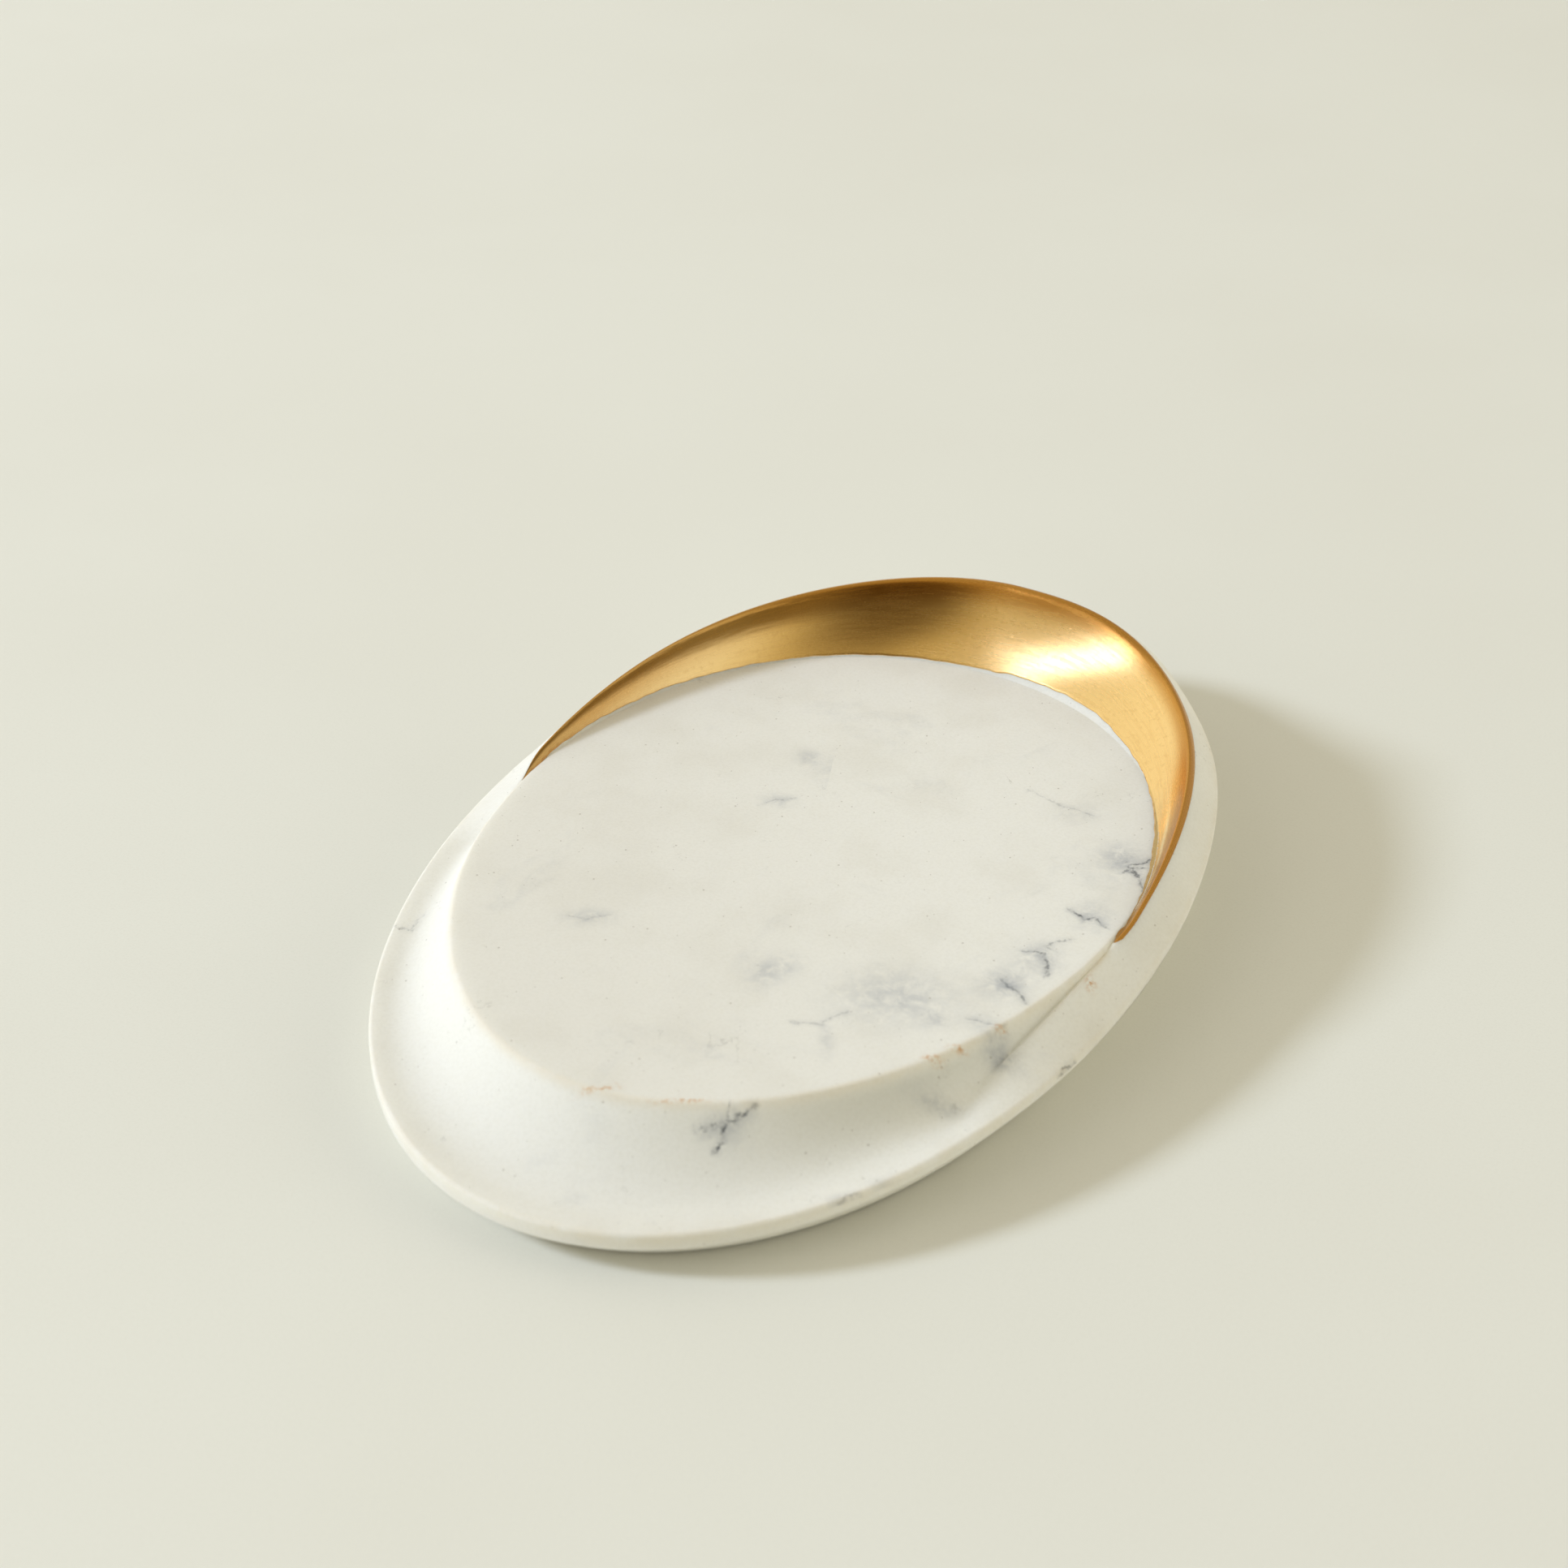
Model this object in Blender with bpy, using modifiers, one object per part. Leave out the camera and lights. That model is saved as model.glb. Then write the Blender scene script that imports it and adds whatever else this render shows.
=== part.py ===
"""Soap dish: an oval cast dish with a level platform, a raised gilded back and four stick-on pads.

Metres, +Z up. The long axis runs along Y: the low, open front is toward -Y and the high back toward +Y.
The origin is under the middle of the rim's plan, on the surface the pads stand on.
"""
import math

import bmesh
import bpy
import numpy as np
from mathutils import Vector

MM = 0.001

# Rim: the edge all round the dish. Its top rises evenly from the front and levels off at the back. It is
# thickest and roundest at the front, and rubbed in a little at the right shoulder of the back.
RIM_HALF_LENGTH = 70.0 * MM
RIM_HALF_WIDTH = 45.7 * MM
RIM_NARROWING = 0.039
RIM_TOP_FRONT_Z = 5.5 * MM
RIM_TOP_BACK_Z = 16.9 * MM
RIM_BACK_SAG = 2.2 * MM
RIM_SAG_POWER = 6.0
RIM_EDGE_FRONT = 2.9 * MM
RIM_EDGE_BACK = 2.0 * MM
RIM_EDGE_POWER = 4.0
RIM_LAND_WIDTH = 2.0 * MM
RIM_CORNER_FRONT = 1.2 * MM
RIM_CORNER_BACK = 0.5 * MM
RIM_UNDER_CORNER = 0.6 * MM
RIM_SHOULDER_TRIM = 1.6 * MM
RIM_SHOULDER_ANGLE = math.radians(-23.0)
RIM_SHOULDER_SPAN = math.radians(13.0)

# Platform: the level oval the soap lies on, set in from the rim.
PLATFORM_END_MARGIN = 18.1 * MM
PLATFORM_SIDE_MARGIN = 5.3 * MM
PLATFORM_WIDENING = 0.074
PLATFORM_CENTRE_Y = -4.4 * MM
PLATFORM_Z = 13.9 * MM
PLATFORM_EDGE_SOFTNESS = 0.45 * MM
PLATFORM_SIDE_POWER = 2.3
PLATFORM_TIP_POWER = 1.5
PLATFORM_TIP_SPAN = math.radians(20.0)
PLATFORM_HALF_LENGTH = RIM_HALF_LENGTH - PLATFORM_END_MARGIN
PLATFORM_HALF_WIDTH = RIM_HALF_WIDTH - PLATFORM_SIDE_MARGIN

# Crest: the rounded top line of the raised back. Its rises are from the platform's level. It climbs
# steadily from the left tip, and by a shoulder and a steeper end from the right tip. Past each tip it
# sinks, and on the right it drifts away from the platform with a narrow valley between the two.
CREST_TIP_RISE = -0.5 * MM
CREST_SHOULDER_RISE = 5.6 * MM
CREST_BACK_RISE = 10.45 * MM
CREST_LEFT_TIP_ANGLE = math.radians(97.0)
CREST_RIGHT_TIP_ANGLE = math.radians(93.0)
CREST_LEFT_POWER = 1.42
CREST_SHOULDER_POWER = 1.9
CREST_BACK_SPAN = math.radians(23.0)
CREST_BACK_SQUARENESS = 3.0
CREST_LEFT_INSET = 4.1 * MM
CREST_RIGHT_INSET = 4.4 * MM
CREST_BACK_INSET = 14.8 * MM
CREST_LEFT_INSET_SPAN = math.radians(35.0)
CREST_RIGHT_INSET_SPAN = math.radians(19.7)
CREST_PULL_IN = math.radians(10.0)
CREST_TIP_GAP = 0.3 * MM
CREST_LEFT_DRIFT = 0.3 * MM
CREST_RIGHT_DRIFT = 2.8 * MM
CREST_DRIFT_POWER = 1.3
CREST_LEFT_FADE = math.radians(14.0)
CREST_RIGHT_FADE = math.radians(38.0)
VALLEY_SLOPE = 1.1
VALLEY_RISE = 1.2 * MM
CREST_SOFTNESS_TIP = 0.3 * MM
CREST_SOFTNESS_BACK = 1.5 * MM
COVE_STRAIGHT_SHARE = 0.7
COVE_POWER = 2.5
BLEND_WIDTH = 0.3 * MM

# Pads: clear non-slip discs, each held by a film of its own adhesive.
PAD_DIAMETER = 10.0 * MM
PAD_THICKNESS = 1.0 * MM
PAD_FILM = 0.3 * MM
PAD_EDGE_RADIUS = 0.3 * MM
PAD_END_MARGIN = 20.5 * MM
PAD_SIDE_MARGIN = 17.7 * MM

# Base: the flat the pads are stuck to, set in from the rim and hidden under it.
BASE_FRONT_MARGIN = 6.0 * MM
BASE_BACK_MARGIN = 17.0 * MM
BASE_SIDE_MARGIN = 6.0 * MM
BASE_EDGE_RADIUS = 1.0 * MM
BASE_Z = PAD_THICKNESS + PAD_FILM
BASE_HALF_LENGTH = RIM_HALF_LENGTH - 0.5 * (BASE_FRONT_MARGIN + BASE_BACK_MARGIN)
BASE_HALF_WIDTH = RIM_HALF_WIDTH - BASE_SIDE_MARGIN
BASE_CENTRE_Y = 0.5 * (BASE_FRONT_MARGIN - BASE_BACK_MARGIN)
UNDERSIDE_POWER = 1.5

# Gold leaf: a crescent skin laid up the cove of the raised back.
LEAF_LEFT_ANGLE = math.radians(92.0)
LEAF_RIGHT_ANGLE = math.radians(-87.0)
LEAF_FOOT_SHARE = 0.12
LEAF_HEAD_SHARE = 0.97
LEAF_TIP_TAPER = math.radians(16.0)
LEAF_TIP_SHARE = 0.2
LEAF_THICKNESS = 0.35 * MM
LEAF_CLEARANCE = 0.3 * MM
LEAF_COLUMNS = 84
LEAF_ROWS = 10

# The point all the dish's sections fan out from.
FAN_CENTRE_Y = -2.0 * MM
SECTIONS = 120


def fan_outline(half_length, half_width, centre_y, widening):
    """Distance from the fan centre to an egg-shaped oval, as a function of the section's angle."""
    turn = np.linspace(0.0, 2.0 * math.pi, 1441)
    along = centre_y + half_length * np.cos(turn) - FAN_CENTRE_Y
    across = half_width * (1.0 + widening * np.cos(turn)) * np.sin(turn)
    angle = np.unwrap(np.arctan2(across, along))
    reach = np.hypot(across, along)

    def reach_at(section_angle):
        return np.interp(np.mod(section_angle, 2.0 * math.pi), angle, reach)

    return reach_at


rim_oval = fan_outline(RIM_HALF_LENGTH, RIM_HALF_WIDTH, 0.0, -RIM_NARROWING)
platform_reach = fan_outline(PLATFORM_HALF_LENGTH, PLATFORM_HALF_WIDTH, PLATFORM_CENTRE_Y, PLATFORM_WIDENING)
base_reach = fan_outline(BASE_HALF_LENGTH, BASE_HALF_WIDTH, BASE_CENTRE_Y, -RIM_NARROWING)


def eased(share):
    """A share from 0 to 1 that leaves and arrives gently, held at 0 before and at 1 after."""
    held = np.clip(share, 0.0, 1.0)
    return held * held * (3.0 - 2.0 * held)


def signed(section_angle):
    """The angle from the back, positive round the left side (-X) and negative round the right."""
    return np.mod(section_angle + math.pi, 2.0 * math.pi) - math.pi


def by_side(section_angle, left, right):
    """One value for the sections on the left and another for those on the right."""
    return np.where(signed(section_angle) > 0.0, left, right)


def rim_reach(section_angle):
    """Distance from the fan centre to the rim, the oval less the shoulder's trim."""
    off = (signed(section_angle) - RIM_SHOULDER_ANGLE) / RIM_SHOULDER_SPAN
    return rim_oval(section_angle) - RIM_SHOULDER_TRIM * np.exp(-(off ** 2))


def past_tip(section_angle):
    """Angle beyond the crest's tip on the section's own side, negative before the tip."""
    return np.abs(signed(section_angle)) - by_side(section_angle, CREST_LEFT_TIP_ANGLE, CREST_RIGHT_TIP_ANGLE)


def back_share(section_angle):
    """How far back the rim is at a section: 0 at the front end and 1 at the back end."""
    y = FAN_CENTRE_Y + rim_oval(section_angle) * np.cos(section_angle)
    return np.clip((y + RIM_HALF_LENGTH) / (2.0 * RIM_HALF_LENGTH), 0.0, 1.0)


def rim_top_z(section_angle):
    """Height of the rim's top, which rises evenly from the front and levels off at the back."""
    share = back_share(section_angle)
    return RIM_TOP_FRONT_Z + share * (RIM_TOP_BACK_Z - RIM_TOP_FRONT_Z) - RIM_BACK_SAG * share ** RIM_SAG_POWER


def rim_edge_height(section_angle):
    """Height of the rim's edge, which thins quickly from the front."""
    thick = (1.0 - back_share(section_angle)) ** RIM_EDGE_POWER
    return RIM_EDGE_BACK + (RIM_EDGE_FRONT - RIM_EDGE_BACK) * thick


def rim_corner(section_angle):
    """Radius of the rim's upper corner."""
    return RIM_CORNER_FRONT + back_share(section_angle) * (RIM_CORNER_BACK - RIM_CORNER_FRONT)


def crest_reach(section_angle):
    """Distance from the fan centre to the crest line, which is drawn in to the platform at its tips."""
    a = signed(section_angle)
    side_inset = by_side(a, CREST_LEFT_INSET, CREST_RIGHT_INSET)
    span = by_side(a, CREST_LEFT_INSET_SPAN, CREST_RIGHT_INSET_SPAN)
    inset = side_inset + (CREST_BACK_INSET - side_inset) * np.exp(-((a / span) ** 2))
    inner = platform_reach(section_angle)
    gap = np.maximum(rim_oval(section_angle) - inset - inner, CREST_TIP_GAP)
    past = past_tip(section_angle)
    drawn = eased(1.0 + past / CREST_PULL_IN)
    drift = by_side(a, CREST_LEFT_DRIFT, CREST_RIGHT_DRIFT)
    fade_share = np.maximum(past, 0.0) / by_side(a, CREST_LEFT_FADE, CREST_RIGHT_FADE)
    tip_gap = CREST_TIP_GAP + drift * np.minimum(fade_share, 1.0) ** CREST_DRIFT_POWER
    return inner + gap + (tip_gap - gap) * drawn


def crest_z(section_angle):
    """Height at which the cove and the outer wall would meet, before the crest is rounded."""
    a = np.abs(signed(section_angle))
    left_share = np.clip(a / CREST_LEFT_TIP_ANGLE, 0.0, 1.0) ** CREST_LEFT_POWER
    left = CREST_BACK_RISE + (CREST_TIP_RISE - CREST_BACK_RISE) * left_share
    right_share = np.clip(a / CREST_RIGHT_TIP_ANGLE, 0.0, 1.0) ** CREST_SHOULDER_POWER
    shoulder = CREST_SHOULDER_RISE + (CREST_TIP_RISE - CREST_SHOULDER_RISE) * right_share
    climb = np.exp(-((a / CREST_BACK_SPAN) ** CREST_BACK_SQUARENESS))
    right = shoulder + (CREST_BACK_RISE - CREST_SHOULDER_RISE) * climb
    height = PLATFORM_Z + by_side(section_angle, left, right)
    fade_span = by_side(section_angle, CREST_LEFT_FADE, CREST_RIGHT_FADE)
    keep = 1.0 - np.clip(past_tip(section_angle) / fade_span, 0.0, 1.0) ** 2
    rim_top = rim_top_z(section_angle)
    return rim_top + (height - rim_top) * keep


def wall_end(section_angle):
    """Reach, height and steepness where the outer wall runs into the rim's rounded corner."""
    corner = rim_corner(section_angle)
    rim = rim_reach(section_angle)
    rim_top = rim_top_z(section_angle)
    drop = np.maximum(crest_z(section_angle) - rim_top, 0.0)
    steep = np.arctan2(drop, rim - corner - crest_reach(section_angle))
    return rim - corner * (1.0 - np.sin(steep)), rim_top - corner * (1.0 - np.cos(steep)), steep


def top_z(section_angle, reach):
    """Height of the dish's top outside the platform: the ridge, or the platform's side where that is higher."""
    inner = platform_reach(section_angle)
    crest = crest_reach(section_angle)
    top = crest_z(section_angle)
    rise = top - PLATFORM_Z
    end_reach, end_z, steep = wall_end(section_angle)
    wall = end_z + (top - end_z) * (end_reach - reach) / (end_reach - crest)
    up = np.clip((reach - inner) / (crest - inner), 0.0, 1.0)
    curve = COVE_STRAIGHT_SHARE * up + (1.0 - COVE_STRAIGHT_SHARE) * up ** COVE_POWER
    head_slope = COVE_STRAIGHT_SHARE + (1.0 - COVE_STRAIGHT_SHARE) * COVE_POWER
    valley_slope = VALLEY_SLOPE * np.clip(1.0 - rise / VALLEY_RISE, 0.0, 1.0)
    climb = np.maximum(rise, 0.0)
    over_crest = np.maximum(reach - crest, 0.0) * climb * head_slope / (crest - inner)
    cove = top - climb * (1.0 - curve) + over_crest + valley_slope * (reach - crest)
    height_share = np.clip(rise / CREST_BACK_RISE, 0.0, 1.0)
    soft = (CREST_SOFTNESS_TIP + (CREST_SOFTNESS_BACK - CREST_SOFTNESS_TIP) * height_share) * up
    ridge = 0.5 * (cove + wall - np.sqrt((cove - wall) ** 2 + soft ** 2))
    rim_top = rim_top_z(section_angle)
    land = rim_reach(section_angle) - RIM_LAND_WIDTH
    across = np.clip((reach - inner) / (land - inner), 0.0, 1.0)
    tip_share = np.exp(-((past_tip(section_angle) / PLATFORM_TIP_SPAN) ** 2))
    power = PLATFORM_SIDE_POWER + PLATFORM_TIP_POWER * tip_share
    side = rim_top + (PLATFORM_Z - rim_top) * (1.0 - across) ** power
    blend = BLEND_WIDTH * (1.0 - across) * np.clip((reach - inner) / (2.0 * BLEND_WIDTH), 0.0, 1.0)
    blend = blend * np.clip(1.0 - rise / VALLEY_RISE, 0.0, 1.0)
    both = 0.5 * (side + ridge + np.sqrt((side - ridge) ** 2 + blend ** 2))
    return np.where(rim_top < PLATFORM_Z, both, ridge)


def top_point(section_angle, reach):
    """A point of the top surface."""
    z = top_z(section_angle, reach)
    x = -reach * np.sin(section_angle)
    y = FAN_CENTRE_Y + reach * np.cos(section_angle)
    return np.array([float(x), float(y), float(z)])


def dish_profile(section_angle):
    """One section of the dish, from the platform's middle over the rim to the base's middle."""
    inner = float(platform_reach(section_angle))
    crest = float(crest_reach(section_angle))
    outer = float(rim_reach(section_angle))
    base = float(base_reach(section_angle))
    rim_top = float(rim_top_z(section_angle))
    low = rim_top - float(rim_edge_height(section_angle))
    last, last_z, steep = (float(value) for value in wall_end(section_angle))
    soft = PLATFORM_EDGE_SOFTNESS
    points = []
    for share in (0.35, 0.7, 0.9):
        points.append((inner * share, PLATFORM_Z))
    points.append((inner - 3.0 * soft, PLATFORM_Z))
    first = float(top_z(section_angle, inner + soft))
    edge = min(PLATFORM_Z, 0.5 * (PLATFORM_Z + first))
    points.append((inner - soft, 0.75 * PLATFORM_Z + 0.25 * edge))
    open_front = float(eased(past_tip(section_angle) / CREST_RIGHT_FADE - 0.6))
    split = crest + open_front * 0.4 * (last - crest)
    for share in (0.1, 0.22, 0.36, 0.5, 0.64, 0.77, 0.88, 0.95, 1.0):
        reach = inner + share * (split - inner)
        points.append((reach, float(top_z(section_angle, reach))))
    for share in (0.05, 0.12, 0.24, 0.4, 0.58, 0.78):
        reach = split + share * (last - split)
        points.append((reach, float(top_z(section_angle, reach))))
    corner = float(rim_corner(section_angle))
    for turn in (0.0, 0.33, 0.67, 1.0):
        angle = steep + (0.5 * math.pi - steep) * turn
        points.append((outer - corner + corner * math.sin(angle), rim_top - corner + corner * math.cos(angle)))
    round_r = RIM_UNDER_CORNER
    for turn in (0.0, 0.5, 1.0):
        angle = 0.5 * math.pi * turn
        points.append((outer - round_r + round_r * math.cos(angle), low + round_r - round_r * math.sin(angle)))
    start = outer - round_r
    for share in (0.85, 0.68, 0.5, 0.32, 0.14):
        reach = base + share * (start - base)
        points.append((reach, BASE_Z + (low - BASE_Z) * share ** UNDERSIDE_POWER))
    points.append((base - BASE_EDGE_RADIUS, BASE_Z))
    points.append((base * 0.6, BASE_Z))
    return points


def new_collection(name):
    """A collection linked to the scene."""
    collection = bpy.data.collections.new(name)
    bpy.context.scene.collection.children.link(collection)
    return collection


def finish_mesh(bm, name, collection, material):
    """Turn a bmesh into a named object, faces out, smooth with sharp edges kept."""
    bmesh.ops.recalc_face_normals(bm, faces=bm.faces)
    mesh = bpy.data.meshes.new(name)
    bm.to_mesh(mesh)
    bm.free()
    mesh.shade_smooth()
    mesh.set_sharp_from_angle(angle=math.radians(35.0))
    mesh.materials.append(material)
    obj = bpy.data.objects.new(name, mesh)
    collection.objects.link(obj)
    return obj


def make_material(name, colour, roughness, metallic, transmission):
    """A plain Principled material."""
    material = bpy.data.materials.new(name)
    material.use_nodes = True
    shader = material.node_tree.nodes["Principled BSDF"]
    shader.inputs["Base Color"].default_value = (colour[0], colour[1], colour[2], 1.0)
    shader.inputs["Roughness"].default_value = roughness
    shader.inputs["Metallic"].default_value = metallic
    shader.inputs["Transmission Weight"].default_value = transmission
    return material


def section_angles():
    """Section angles spaced evenly round the rim oval rather than in plan angle."""
    turn = np.arange(SECTIONS) * 2.0 * math.pi / SECTIONS
    along = RIM_HALF_LENGTH * np.cos(turn) - FAN_CENTRE_Y
    across = RIM_HALF_WIDTH * (1.0 - RIM_NARROWING * np.cos(turn)) * np.sin(turn)
    return np.arctan2(across, along)


def make_dish(collection, material):
    """Loft the sections round the fan centre into one closed cast body."""
    bm = bmesh.new()
    rings = []
    for angle in section_angles():
        ring = []
        for reach, z in dish_profile(angle):
            ring.append(bm.verts.new((-reach * math.sin(angle), FAN_CENTRE_Y + reach * math.cos(angle), z)))
        rings.append(ring)
    middle_top = bm.verts.new((0.0, FAN_CENTRE_Y, PLATFORM_Z))
    middle_base = bm.verts.new((0.0, FAN_CENTRE_Y, BASE_Z))
    count = len(rings)
    for index in range(count):
        here = rings[index]
        after = rings[(index + 1) % count]
        bm.faces.new((middle_top, here[0], after[0]))
        bm.faces.new((middle_base, after[-1], here[-1]))
        for row in range(len(here) - 1):
            bm.faces.new((here[row], here[row + 1], after[row + 1], after[row]))
    return finish_mesh(bm, "dish_body", collection, material)


def leaf_point(angle, reach):
    """A point of the leaf's back face, off the cove by the clearance."""
    step = 0.02 * MM
    turn = 0.0005
    point = top_point(angle, reach)
    climb = top_point(angle, reach + step) - top_point(angle, reach - step)
    along = top_point(angle + turn, reach) - top_point(angle - turn, reach)
    normal = np.cross(climb, along)
    normal = normal / np.linalg.norm(normal)
    if normal[2] < 0.0:
        normal = -normal
    return Vector(point + normal * LEAF_CLEARANCE)


def make_leaf(collection, material):
    """A crescent skin that follows the cove at a small clearance, thickened outward."""
    bm = bmesh.new()
    grid = []
    for column in range(LEAF_COLUMNS + 1):
        angle = LEAF_LEFT_ANGLE + (LEAF_RIGHT_ANGLE - LEAF_LEFT_ANGLE) * column / LEAF_COLUMNS
        inner = float(platform_reach(angle))
        crest = float(crest_reach(angle))
        ends = min(LEAF_LEFT_ANGLE - angle, angle - LEAF_RIGHT_ANGLE) / LEAF_TIP_TAPER
        taper = LEAF_TIP_SHARE + (1.0 - LEAF_TIP_SHARE) * math.sqrt(min(1.0, max(0.0, ends)))
        foot = LEAF_HEAD_SHARE + (LEAF_FOOT_SHARE - LEAF_HEAD_SHARE) * taper
        line = []
        for row in range(LEAF_ROWS + 1):
            share = foot + (LEAF_HEAD_SHARE - foot) * row / LEAF_ROWS
            line.append(bm.verts.new(leaf_point(angle, inner + (crest - inner) * share)))
        grid.append(line)
    for column in range(LEAF_COLUMNS):
        here = grid[column]
        after = grid[column + 1]
        for row in range(LEAF_ROWS):
            bm.faces.new((here[row], after[row], after[row + 1], here[row + 1]))
    obj = finish_mesh(bm, "gold_leaf", collection, material)
    if obj.data.polygons[LEAF_COLUMNS * LEAF_ROWS // 2].normal.z < 0.0:
        obj.data.flip_normals()
    thick = obj.modifiers.new("leaf thickness", "SOLIDIFY")
    thick.thickness = LEAF_THICKNESS
    thick.offset = 1.0
    return obj


def make_pad(name, x, y, collection, material):
    """A low round disc with a softened edge."""
    bm = bmesh.new()
    bmesh.ops.create_cone(bm, cap_ends=True, segments=48, radius1=0.5 * PAD_DIAMETER,
                          radius2=0.5 * PAD_DIAMETER, depth=PAD_THICKNESS)
    bmesh.ops.translate(bm, verts=bm.verts, vec=(x, y, 0.5 * PAD_THICKNESS))
    obj = finish_mesh(bm, name, collection, material)
    soften = obj.modifiers.new("soft edge", "BEVEL")
    soften.width = PAD_EDGE_RADIUS
    soften.segments = 2
    soften.limit_method = "ANGLE"
    soften.angle_limit = math.radians(40.0)
    return obj


for old in list(bpy.data.objects):
    bpy.data.objects.remove(old, do_unlink=True)

dish_collection = new_collection("soap_dish")
marble = make_material("cast_marble_resin", (0.80, 0.79, 0.73), 0.60, 0.0, 0.0)
gold = make_material("brushed_gold_leaf", (0.90, 0.60, 0.24), 0.30, 1.0, 0.0)
silicone = make_material("clear_silicone", (0.72, 0.73, 0.71), 0.40, 0.0, 0.35)

make_dish(dish_collection, marble)
make_leaf(dish_collection, gold)
pad_reach_x = BASE_HALF_WIDTH - PAD_SIDE_MARGIN
pad_reach_y = BASE_HALF_LENGTH - PAD_END_MARGIN
for end, pad_y in (("front", BASE_CENTRE_Y - pad_reach_y), ("back", BASE_CENTRE_Y + pad_reach_y)):
    for side, pad_x in (("left", -pad_reach_x), ("right", pad_reach_x)):
        make_pad("foot_pad_" + end + "_" + side, pad_x, pad_y, dish_collection, silicone)
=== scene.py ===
import math

import bmesh
import bpy
import numpy as np
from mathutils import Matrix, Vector


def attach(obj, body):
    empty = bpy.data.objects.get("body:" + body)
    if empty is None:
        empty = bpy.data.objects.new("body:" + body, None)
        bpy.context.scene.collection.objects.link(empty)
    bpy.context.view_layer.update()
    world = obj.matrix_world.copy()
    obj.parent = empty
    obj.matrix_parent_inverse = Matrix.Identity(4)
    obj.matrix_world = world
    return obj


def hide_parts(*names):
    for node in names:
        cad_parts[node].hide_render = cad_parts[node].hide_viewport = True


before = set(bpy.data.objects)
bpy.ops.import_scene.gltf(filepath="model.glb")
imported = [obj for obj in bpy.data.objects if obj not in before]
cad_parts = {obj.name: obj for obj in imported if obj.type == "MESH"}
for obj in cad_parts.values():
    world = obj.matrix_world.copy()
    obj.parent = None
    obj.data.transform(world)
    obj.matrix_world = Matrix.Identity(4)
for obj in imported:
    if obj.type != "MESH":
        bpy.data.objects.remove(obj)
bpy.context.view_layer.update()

MM = 0.001

# The casting. One piece of filled polyester resin, poured in a mould and rubbed down by hand: a level
# oval platform, a cove that climbs to a raised back, and a thin rim that slopes up from front to back.
# Its top is one height over the plan, along lines that fan out from a point near the middle. Angles round
# that point start at the back. Lengths and widths of ovals are half sizes, and rises are above the platform.
FAN_Y = -2.0 * MM
PLATFORM_Z, BASE_Z, FOOT_Z = 13.9 * MM, 1.3 * MM, 0.2 * MM
PLATFORM_LENGTH, PLATFORM_WIDTH, PLATFORM_MIDDLE, PLATFORM_WIDENING = 51.9 * MM, 40.4 * MM, -4.4 * MM, 0.074
RIM_LENGTH, RIM_WIDTH, RIM_NARROWING = 70.0 * MM, 45.7 * MM, 0.039
RIM_FRONT_Z, RIM_BACK_Z, RIM_SAG = 5.5 * MM, 16.9 * MM, 2.2 * MM
EDGE_FRONT, EDGE_BACK, RIM_LAND = 2.4 * MM, 1.2 * MM, 2.0 * MM
UPPER_CORNER, UNDER_CORNER = 0.5 * MM, 0.35 * MM
ROLLED_MORE, ROLLED_AT, ROLLED_SPAN = 0.6 * MM, 1.7, 0.6
SHOULDER_AT, SHOULDER_SPAN, SHOULDER_DIP = math.radians(23.0), math.radians(13.0), 1.6 * MM
RIM_WANDER, PLATFORM_WANDER = 0.05 * MM, 0.1 * MM
FOOT_LENGTH, FOOT_WIDTH, FOOT_MIDDLE = 59.9 * MM, 38.6 * MM, -6.5 * MM
FOOT_RING, FOOT_STEP = 1.4 * MM, 2.0 * MM
INSET_LEFT, INSET_RIGHT, INSET_BACK = 4.1 * MM, 4.4 * MM, 14.8 * MM
BACK_SPAN_LEFT, BACK_SPAN_RIGHT = math.radians(35.0), math.radians(19.7)
TIP_LEFT, TIP_RIGHT = math.radians(97.0), math.radians(93.0)
FADE_LEFT, FADE_RIGHT = math.radians(14.0), math.radians(38.0)
TIP_GAP, DRIFT_LEFT, DRIFT_RIGHT, PULL_IN = 0.3 * MM, 0.3 * MM, 2.8 * MM, math.radians(10.0)
BACK_RISE, TIP_RISE, SHOULDER_RISE, VALLEY_RISE = 10.45 * MM, -0.5 * MM, 5.6 * MM, 1.2 * MM
CLIMB_LEFT, CLIMB_RIGHT, VALLEY_SLOPE = 1.42, 1.9, 1.1
COVE_LINE, COVE_CURVE, COVE_POWER = 0.7, 0.3, 2.5
SIDE_POWER, SIDE_POWER_AT_TIP, TIP_SPAN = 2.3, 1.5, math.radians(20.0)
EDGE_SOFT, JOIN_SOFT, CREST_SOFT_LOW, CREST_SOFT_HIGH = 0.4 * MM, 0.3 * MM, 0.3 * MM, 1.5 * MM
EDGE_BAND, SOFT_STEP, LEAST_LEAN, UNDER_BOW = 1.0 * MM, 2.0 * MM, 0.1, 1.1
OVAL_STEPS, AROUND = 2880, 480
PLATFORM_ROWS, EDGE_ROWS, COVE_ROWS, WALL_ROWS, CORNER_ROWS, UNDER_ROWS, SLOPE_ROWS = 48, 9, 38, 34, 7, 7, 11


def oval(length, width, middle_y, widening):
    """Distance from the fan point to an egg-shaped oval: y = middle + length cos t,
    x = width (1 + widening cos t) sin t, turned into a distance for each fan angle."""
    t = np.linspace(0.0, 2.0 * math.pi, OVAL_STEPS + 1)
    y = middle_y + length * np.cos(t) - FAN_Y
    x = width * (1.0 + widening * np.cos(t)) * np.sin(t)
    at, reach = np.unwrap(np.arctan2(x, y)), np.hypot(x, y)
    return lambda a: np.interp(np.mod(a, 2.0 * math.pi), at, reach)


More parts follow.
